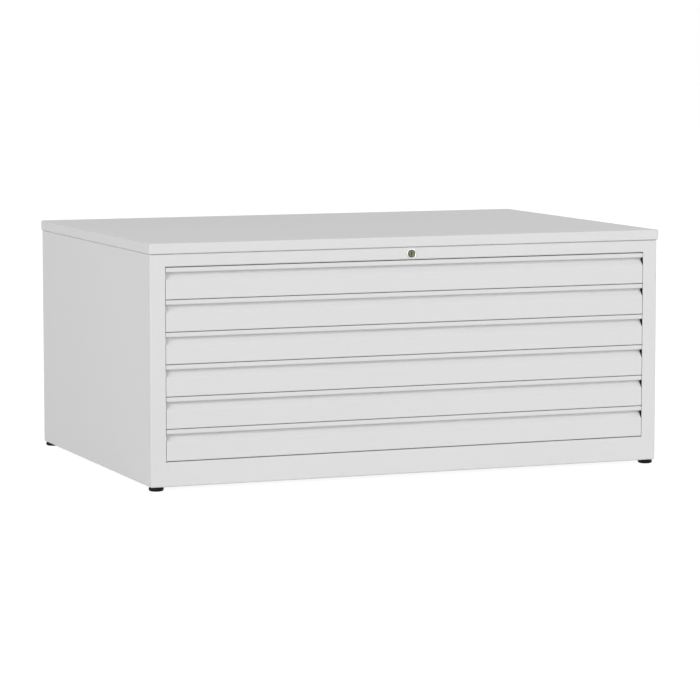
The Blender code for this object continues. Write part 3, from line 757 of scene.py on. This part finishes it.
def makeFronts():
    firstLow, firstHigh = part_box("drawer_front_1")
    height = firstHigh.z - firstLow.z
    y, z = firstLow.y, firstLow.z
    reach = firstHigh.x
    lipBottom = height - front["lip"]
    recessBottom = lipBottom - front["recessBack"]
    faceTop = recessBottom - front["slope"]
    depth, recess = front["depth"], front["recessDepth"]
    corners = [(depth, height - front["return"]), (depth, height), (0, height), (0, lipBottom),
               (recess, lipBottom), (recess, recessBottom), (0, faceTop), (0, 0), (depth, 0),
               (depth, front["return"])]
    full = front["fullness"]
    shift = {0: -full, height: full}
    corners = [(across + y, up + shift.get(up, 0) + z) for across, up in corners]
    reach += front["sideFullness"]
    mesh = foldSheet("drawerFront", corners, -reach, reach, "X", front["bend"], front["sheet"])
    ears = []
    half = front["sheet"] / 2
    for side in (-1, 1):
        outside = side * (reach - front["earInset"])
        inside = outside - side * front["sheet"]
        ears.append(boxShape(f"ear{side}", (min(outside, inside), y + half, z + half),
                             (max(outside, inside), y + front["earDepth"], z + faceTop)))
    mesh = smoothOut(combine(mesh, "drawerFront", ears, "UNION"))
    eachDrawer(mesh, "drawerFront", "light_grey_paint", "drawer", "drawer_front")


tray = {
    "sheet": 0.001,
    "bend": 0.0006,
    "rim": 0.010,
    "hood": 0.045,  # the wider rim at the rear
    "mitreGap": 0.0007,
    "weldInset": 0.0075,
    "weldPitch": 0.110,
    "weldEnd": 0.060,
}

slides = {
    "thickness": 0.0127,  # over all three members
    "height": 0.036,
    "sheet": 0.0012,
    "bend": 0.0012,
    "gap": 0.0005,  # between the members, where the balls would run
    "holePitch": 0.064,
    "holeRadius": 0.0023,
    "slotLength": 0.014,
    "slotWidth": 0.0046,
    "holeEnd": 0.018,  # from the end of a member to its first hole
    "holeSides": 24,
    "screwHead": 0.0036,
    "screwRise": 0.0020,
    "screwSteps": 6,
    "screwSides": 32,
    "screwShares": (0.075, 0.5, 0.925),  # places along the slide
    "bladeLength": 0.9,  # the cross in a screw's head, as shares of its radius and rise
    "bladeHalf": 0.13,
    "bladeDepth": 0.55,
}


def makeTrays():
    low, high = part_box("drawer_tray_1")
    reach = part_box("side_panel_right")[0].x - slides["thickness"]
    low, high = Vector((-reach, low.y, low.z)), Vector((reach, high.y, high.z))
    mesh = foldPan("drawerTray", low, high, (0, 0, 1), tray["rim"], tray["bend"], tray["sheet"],
                   tray["hood"])
    depths = {"side": tray["rim"], "front": tray["rim"], "rear": tray["hood"]}
    cuts = mitreCuts("trayMitre", low, high, high.z - tray["sheet"] - mitres["sink"],
                     high.z + shared["cutOver"], depths, tray["mitreGap"])
    wall = low.y + tray["sheet"]
    for z in (low.z + tray["weldInset"], high.z - tray["weldInset"]):
        cuts += weldRow(f"trayWeld{z:.3f}", (tray["weldEnd"] - reach, wall, z),
                        (reach - tray["weldEnd"], wall, z), (0, 1, 0), tray["weldPitch"])
    mesh = smoothOut(combine(mesh, "drawerTray", cuts))
    eachDrawer(mesh, "drawerTray", "light_grey_paint", "drawer", "drawer_tray")


def channel(name, side, edge, back, height, start, end, holes, inward):
    # one member of a slide: its web stands at back, its flanges run to edge
    middle = slideMiddle()
    low, high = middle - height / 2, middle + height / 2
    corners = [(edge, low), (back, low), (back, high), (edge, high)]
    corners = list(reversed(corners)) if inward else corners
    mesh = foldSheet(name, sideLine(corners, side), start, end, "Y", slides["bend"], slides["sheet"])
    cuts = []
    reach = slides["sheet"] + shared["cutOver"]
    for index, y in enumerate(holes):
        near, far = (side * (back - reach), y, middle), (side * (back + reach), y, middle)
        if index % 2:
            cuts.append(slotShape(f"slot{index}", slides["slotLength"], slides["slotWidth"], near, far,
                                  (0, 1, 0)))
        else:
            cuts.append(barShape(f"hole{index}", slides["holeRadius"], near, far, slides["holeSides"]))
    return smoothOut(combine(mesh, name, cuts))


def holeRow(start, end, shift):
    # places along a member for its holes and slots, moved on by a share of their pitch
    run = end - start - 2 * slides["holeEnd"]
    count = int(run // slides["holePitch"])
    pitch = run / count
    return [start + slides["holeEnd"] + pitch * (index + shift)
            for index in range(count + 1 - math.ceil(shift))]


def makeSlides():
    outerLow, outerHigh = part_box("slide_outer_right_1")
    start, end = outerLow.y, outerHigh.y
    stile = outerHigh.x
    step = slides["sheet"] + slides["gap"]
    edge = outerLow.x
    middleBack = stile - step
    innerEdge = middleBack - step
    innerBack = stile - slides["thickness"]
    for side in (-1, 1):
        word = sideName(side)
        lower = word.lower()
        outer = channel(f"slideOuter{word}", side, edge, stile, slides["height"], start, end,
                        holeRow(start, end, 0), False)
        eachDrawer(outer, f"slideOuter{word}", "zinc_plated_steel", "cabinet", f"slide_outer_{lower}")
        middle = channel(f"slideMiddle{word}", side, edge, middleBack, slides["height"] - 2 * step, start,
                         end, holeRow(start, end, 0.5), False)
        eachDrawer(middle, f"slideMiddle{word}", "zinc_plated_steel", "slide_carriage",
                   f"slide_middle_{lower}")
        inner = channel(f"slideInner{word}", side, innerEdge, innerBack, slides["height"] - 4 * step,
                        start, end, holeRow(start, end, 0), True)
        eachDrawer(inner, f"slideInner{word}", "zinc_plated_steel", "drawer")
        screws = slideScrews(word, side, innerBack + slides["sheet"], start, end)
        eachDrawer(screws, f"slideScrews{word}", "zinc_plated_steel", "drawer")


def slideScrews(word, side, seat, start, end):
    # three cross-head screws that hold the inner member to the tray, as one row
    radius, rise = slides["screwHead"], slides["screwRise"]
    arc = [(radius * across, rise * up) for across, up in quarterTurn(slides["screwSteps"])]
    profile = [(0, -slides["sheet"] / 2), (radius, -slides["sheet"] / 2)] + arc[:-1] + [(0, rise)]
    head = turned("screwHead", list(reversed(profile)), slides["screwSides"])
    blade, half = radius * slides["bladeLength"], radius * slides["bladeHalf"]
    depth = rise * slides["bladeDepth"]
    cross = [boxShape("bladeA", (-blade, -half, rise - depth), (blade, half, rise * 2)),
             boxShape("bladeB", (-half, -blade, rise - depth), (half, blade, rise * 2))]
    head = combine(head, "screwHead", cross)
    head.transform(Matrix.Rotation(math.radians(90 * side), 4, "Y"))
    row = bmesh.new()
    for share in slides["screwShares"]:
        copy = head.copy()
        copy.transform(Matrix.Translation((side * seat, start + (end - start) * share, slideMiddle())))
        row.from_mesh(copy)
    return smoothOut(toMesh(row, f"slideScrews{word}"))


makeFronts()
makeTrays()
makeSlides()
print("stage 4: drawers and slides built")


# Lock and latch

lock = {
    "headRadius": 0.009,
    "headThickness": 0.0020,
    "headRound": 0.0006,
    "headSteps": 6,
    "dishRadius": 0.0076,
    "dishDepth": 0.0010,
    "dishBevel": 0.0003,
    "faceRadius": 0.0074,
    "faceBevel": 0.0003,
    "faceSunk": 0.00015,
    "faceGap": 0.00008,
    "barrelRadius": 0.007,
    "barrelLength": 0.024,
    "threadPitch": 0.001,
    "threadDepth": 0.0004,
    "plainBarrel": 0.004,  # length behind the head without a thread
    "threadEnd": 0.3,  # share of a pitch from the last root to the plain barrel
    "plugRadius": 0.0056,
    "collarRadius": 0.0066,
    "collarLength": 0.0015,
    "slotWidth": 0.0016,
    "slotHeight": 0.007,
    "slotDepth": 0.006,
    "wardReach": 1.9,  # the side cut of the keyway, as shares of half its width and height
    "wardLow": 0.35,
    "wardHigh": 0.05,
    "tailWidth": 0.006,
    "tailThickness": 0.0025,
    "tailLength": 0.009,
    "nutWidth": 0.017,
    "nutThickness": 0.004,
    "nutBevel": 0.0007,
    "nutCorner": 1.155,  # a hexagon's corners against its flats
    "gap": 0.0003,
    "sides": 64,
}


def faceToFront(mesh):
    # a profile's height becomes the depth behind the rail's face
    mesh.transform(Matrix.Translation(lockPlace) @ Matrix.Rotation(math.radians(-90), 4, "X"))
    return mesh


def makeHousing():
    # threaded barrel and a rounded head, dished to take the plug's wide face
    face = -lock["gap"] - lock["headThickness"]
    bore = lock["plugRadius"] + lock["gap"]
    radius, end, seat = lock["barrelRadius"], lock["barrelLength"], -lock["gap"]
    profile = [(bore, end), (radius - lock["threadDepth"], end)]
    threads = int((end - lock["plainBarrel"]) / lock["threadPitch"])
    for turn in range(threads):
        top = end - (turn + 0.5) * lock["threadPitch"]
        profile += [(radius, top), (radius - lock["threadDepth"], top - lock["threadPitch"] / 2)]
    profile += [(radius, end - (threads + lock["threadEnd"]) * lock["threadPitch"]), (radius, seat),
                (lock["headRadius"], seat)]
    rounding = lock["headRound"]
    for across, up in quarterTurn(lock["headSteps"]):
        profile.append((lock["headRadius"] - rounding + rounding * across, face + rounding - rounding * up))
    dish, bevel = lock["dishRadius"], lock["dishBevel"]
    profile += [(dish + bevel, face), (dish, face + bevel), (dish, face + lock["dishDepth"]),
                (bore, face + lock["dishDepth"])]
    housing = smoothOut(faceToFront(turned("lockHousing", profile, lock["sides"], closed=True)))
    show("lockHousing", housing, "nickel_plating", "cabinet", ["lock_housing"])


def makePlug():
    # turning core with a wide face, the keyway, a collar and a flat tail for the rod
    head = -lock["gap"] - lock["headThickness"]
    floor = head + lock["dishDepth"] - lock["faceGap"]
    face = head + lock["faceSunk"]
    collarFront = lock["barrelLength"] + lock["gap"]
    collarRear = collarFront + lock["collarLength"]
    collar, radius = lock["collarRadius"], lock["plugRadius"]
    wide, rim = lock["faceRadius"], lock["faceBevel"]
    profile = [(0, collarRear), (collar, collarRear), (collar, collarFront), (radius, collarFront),
               (radius, floor), (wide, floor), (wide, face + rim), (wide - rim, face), (radius + rim, face),
               (radius, face + rim), (radius - rim, face), (0, face)]
    plug = faceToFront(turned("lockPlug", profile, lock["sides"]))
    frontY, z = lockPlace[1] + face, lockPlace[2]
    half, tall = lock["slotWidth"] / 2, lock["slotHeight"] / 2
    start, end = frontY - shared["cutOver"], frontY + lock["slotDepth"]
    keyway = [boxShape("keySlot", (-half, start, z - tall), (half, end, z + tall)),
              boxShape("keyWard", (0, start, z - tall * lock["wardLow"]),
                       (half * lock["wardReach"], end, z + tall * lock["wardHigh"]))]
    plug = combine(plug, "lockPlug", keyway)
    tailStart = lockPlace[1] + collarRear - lock["collarLength"] / 2
    tailEnd = lockPlace[1] + collarRear + lock["tailLength"]
    thick, broad = lock["tailThickness"] / 2, lock["tailWidth"] / 2
    tail = boxShape("plugTail", (-thick, tailStart, z - broad), (thick, tailEnd, z + broad))
    plug = smoothOut(combine(plug, "lockPlug", [tail], "UNION"))
    show("lockPlug", plug, "lock_core_metal", "lock_shaft", ["lock_plug"])


def makeLockNut():
    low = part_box("lock_nut")[0]
    radius, bevel, tall = lock["nutWidth"] / 2, lock["nutBevel"], lock["nutThickness"]
    corner = radius * lock["nutCorner"]
    profile = [(0, tall), (radius, tall), (corner, tall - bevel), (corner, bevel), (radius, 0), (0, 0)]
    disc = turned("nutDisc", profile, lock["sides"])
    start, end = (0, 0, -bevel), (0, 0, tall + bevel)
    hexagon = barShape("nutHexagon", lock["nutWidth"] / math.sqrt(3), start, end, 6)
    nut = combine(disc, "lockNut", [hexagon], "INTERSECT")
    bore = barShape("nutBore", lock["barrelRadius"] + lock["gap"] / 3, start, end, lock["sides"])
    nut = combine(nut, "lockNut", [bore])
    turn = Matrix.Rotation(math.radians(-90), 4, "X")
    nut.transform(Matrix.Translation((0, low.y, lockPlace[2])) @ turn)
    show("lockNut", smoothOut(nut), "zinc_plated_steel", "cabinet", ["lock_nut"])


latch = {
    "guideLength": 0.030,
    "guideDepth": 0.008,
    "sheet": 0.0012,
    "bend": 0.0004,
    "gap": 0.0005,
    "upperX": 0.300,
    "wallGap": 0.0006,
    "edgeRound": 0.0002,  # on the small plated pieces
}


def makeLatchGuides():
    low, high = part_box("latch_plate")
    room = latch["gap"] + latch["sheet"]
    ahead, behind = low.y - room, high.y + room
    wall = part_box("side_panel_right")[1].x - body["sheet"] - latch["wallGap"]
    seats = {
        "Upper": (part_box("back_panel")[1].z - body["sheet"], -1, latch["upperX"] - latch["guideLength"] / 2),
        "Lower": (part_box("bottom_panel")[0].z + body["sheet"], 1, wall - latch["guideLength"]),
    }
    for word, (seat, way, start) in seats.items():
        edge = seat + way * (latch["sheet"] + latch["guideDepth"])
        corners = [(ahead, edge), (ahead, seat), (behind, seat), (behind, edge)]
        corners = list(reversed(corners)) if way < 0 else corners
        mesh = foldSheet(f"latchGuide{word}", corners, start, start + latch["guideLength"], "X",
                         latch["bend"], latch["sheet"])
        show(f"latchGuide{word}", smoothOut(mesh), "light_grey_paint", "cabinet")


def dressMechanism():
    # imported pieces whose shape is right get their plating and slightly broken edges
    names = ["lock_rod", "lock_crank", "rod_bracket", "latch_plate"]
    names += [f"latch_catch_{number}" for number in range(1, shared["drawers"] + 1)]
    for name in names:
        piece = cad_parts[name]
        piece.data.materials.clear()
        piece.data.materials.append(finishes["zinc_plated_steel"])
        roundEdges(piece, latch["edgeRound"])


makeHousing()
makePlug()
makeLockNut()
makeLatchGuides()
dressMechanism()
print("stage 5: lock and latch built")


# Feet: moulded glides on threaded stems

foot = {
    "padRadius": 0.0135,
    "round": 0.0035,
    "roundSteps": 8,
    "upperRound": 0.0006,
    "upperSteps": 4,
    "neckRadius": 0.0085,
    "neckStep": 0.0012,
    "neckFlare": 0.0004,
    "hollow": 0.0006,  # depth of the moulded hollow underneath
    "hollowRim": 0.55,  # radius of its edge and of its flat, as shares of the pad's
    "hollowFloor": 0.5,
    "padSides": 64,
    "stemRadius": 0.004,
    "stemGap": 0.0003,
    "stemBevel": 0.0008,
    "plainStem": 0.002,  # length over the pad without a thread
    "threadPitch": 0.00125,
    "threadDepth": 0.0005,
    "stemSides": 32,
}


def padMesh(top):
    # glide with a neck under the body, a hollow sole and a rounded lower edge
    radius, rounding, upper = foot["padRadius"], foot["round"], foot["upperRound"]
    neck, shoulder = foot["neckRadius"], top - foot["neckStep"]
    profile = [(0, top), (neck, top), (neck + foot["neckFlare"], shoulder), (radius - upper, shoulder)]
    for up, across in quarterTurn(foot["upperSteps"])[1:]:
        profile.append((radius - upper + upper * across, shoulder - upper + upper * up))
    for across, up in quarterTurn(foot["roundSteps"]):
        profile.append((radius - rounding + rounding * across, rounding - rounding * up))
    profile += [(radius * foot["hollowRim"], 0), (radius * foot["hollowFloor"], foot["hollow"]),
                (0, foot["hollow"])]
    return turned("footPad", profile, foot["padSides"])


def stemMesh(bottom, top):
    radius, bevel, pitch = foot["stemRadius"], foot["stemBevel"], foot["threadPitch"]
    turns = int((top - bottom - foot["plainStem"]) / pitch)
    profile = [(0, top), (radius - bevel, top)]
    for index in range(turns):
        crest = top - bevel - index * pitch
        profile += [(radius, crest), (radius - foot["threadDepth"], crest - pitch / 2)]
    profile += [(radius, top - bevel - turns * pitch), (radius, bottom), (0, bottom)]
    return turned("footStem", profile, foot["stemSides"])


def makeFeet():
    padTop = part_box("side_panel_left")[0].z - foot["stemGap"]
    pad = padMesh(padTop)
    stem = stemMesh(padTop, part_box("foot_front_left")[1].z)
    for depth in ("front", "rear"):
        for side in ("left", "right"):
            place = Matrix.Translation((*footCentre(depth, side), 0))
            word = depth.title() + side.title()
            for mesh, name, slot, nodes in ((pad, "footPad", "black_plastic", [f"foot_{depth}_{side}"]),
                                            (stem, "footStem", "zinc_plated_steel", ())):
                copy = mesh.copy()
                copy.transform(place)
                show(f"{name}{word}", smoothOut(copy), slot, "cabinet", nodes)


makeFeet()
print("stage 6: feet built")


# Floor, light and camera

floorValues = {
    "size": 60,
    "albedo": 0.8,  # as the light on the object meets it
    "emission": 0.92,  # as the camera sees it: near white, with a share that takes shadows
    "share": 0.24,
}


def seenDirectly(tree):
    # 1 for rays from the camera, from a mirroring surface or through glass, else 0
    rays = tree.nodes.new("ShaderNodeLightPath")
    share = rays.outputs["Is Camera Ray"]
    for ray in ("Is Glossy Ray", "Is Transmission Ray"):
        either = tree.nodes.new("ShaderNodeMath")
        either.operation = "MAXIMUM"
        tree.links.new(share, either.inputs[0])
        tree.links.new(rays.outputs[ray], either.inputs[1])
        share = either.outputs["Value"]
    return share


def makeFloor():
    shape = bmesh.new()
    bmesh.ops.create_grid(shape, x_segments=1, y_segments=1, size=floorValues["size"] / 2)
    material = bpy.data.materials.new("pale floor")
    material.use_nodes = True
    tree = material.node_tree
    tree.nodes.clear()
    output = tree.nodes.new("ShaderNodeOutputMaterial")
    plain = tree.nodes.new("ShaderNodeBsdfDiffuse")
    plain.inputs["Color"].default_value = (floorValues["albedo"],) * 3 + (1,)
    faint = tree.nodes.new("ShaderNodeBsdfDiffuse")
    faint.inputs["Color"].default_value = (floorValues["share"],) * 3 + (1,)
    glow = tree.nodes.new("ShaderNodeEmission")
    glow.inputs["Strength"].default_value = floorValues["emission"]
    both = tree.nodes.new("ShaderNodeAddShader")
    mix = tree.nodes.new("ShaderNodeMixShader")
    link = tree.links.new
    link(faint.outputs["BSDF"], both.inputs[0])
    link(glow.outputs["Emission"], both.inputs[1])
    link(seenDirectly(tree), mix.inputs[0])
    link(plain.outputs["BSDF"], mix.inputs[1])
    link(both.outputs["Shader"], mix.inputs[2])
    link(mix.outputs["Shader"], output.inputs["Surface"])
    addPiece("floor", toMesh(shape, "floor"), material)


worldValues = {"light": 0.362, "seen": 1.0}  # strength on the object, and to the camera


def makeWorld():
    world = bpy.data.worlds.new("pale room")
    bpy.context.scene.world = world
    world.use_nodes = True
    tree = world.node_tree
    tree.nodes.clear()
    output = tree.nodes.new("ShaderNodeOutputWorld")
    soft = tree.nodes.new("ShaderNodeBackground")
    soft.inputs["Strength"].default_value = worldValues["light"]
    soft.inputs["Color"].default_value = (1, 1, 1, 1)
    seen = tree.nodes.new("ShaderNodeBackground")
    seen.inputs["Strength"].default_value = worldValues["seen"]
    seen.inputs["Color"].default_value = (1, 1, 1, 1)
    mix = tree.nodes.new("ShaderNodeMixShader")
    link = tree.links.new
    link(seenDirectly(tree), mix.inputs[0])
    link(soft.outputs["Background"], mix.inputs[1])
    link(seen.outputs["Background"], mix.inputs[2])
    link(mix.outputs["Shader"], output.inputs["Surface"])


lamps = {  # square area lamps, with their power in watts
    "key": {"place": (3.0, -7.2, 3.2), "size": 3.6, "power": 238},
    "fill": {"place": (-8.2, -4.9, 3.9), "size": 4.6, "power": 442},
    "rear": {"place": (6.5, 4.5, 1.1), "size": 3.2, "power": 255},
}
lampTarget = Vector((0, 0, 0.2))


def makeLamps():
    for name, values in lamps.items():
        data = bpy.data.lights.new(name, "AREA")
        data.size = values["size"]
        data.energy = values["power"]
        lamp = bpy.data.objects.new(name, data)
        bpy.context.scene.collection.objects.link(lamp)
        lamp.location = values["place"]
        lamp.rotation_euler = (lampTarget - lamp.location).to_track_quat("-Z", "Y").to_euler()


cameraValues = {
    "lens": 164.53,
    "sensor": 36,
    "place": (-2.2367, -5.6744, 0.8482),
    "pitch": 6.058,  # degrees downwards
    "yaw": 21.633,  # degrees to the right
}


def makeCamera():
    data = bpy.data.cameras.new("camera")
    data.lens = cameraValues["lens"]
    data.sensor_width = cameraValues["sensor"]
    camera = bpy.data.objects.new("camera", data)
    bpy.context.scene.collection.objects.link(camera)
    camera.location = cameraValues["place"]
    camera.rotation_euler = (math.radians(90 - cameraValues["pitch"]), 0,
                             math.radians(-cameraValues["yaw"]))
    bpy.context.scene.camera = camera


makeFloor()
makeWorld()
makeLamps()
makeCamera()
bpy.context.scene.view_settings.view_transform = "Standard"
print("stage 7: floor, light and camera set")
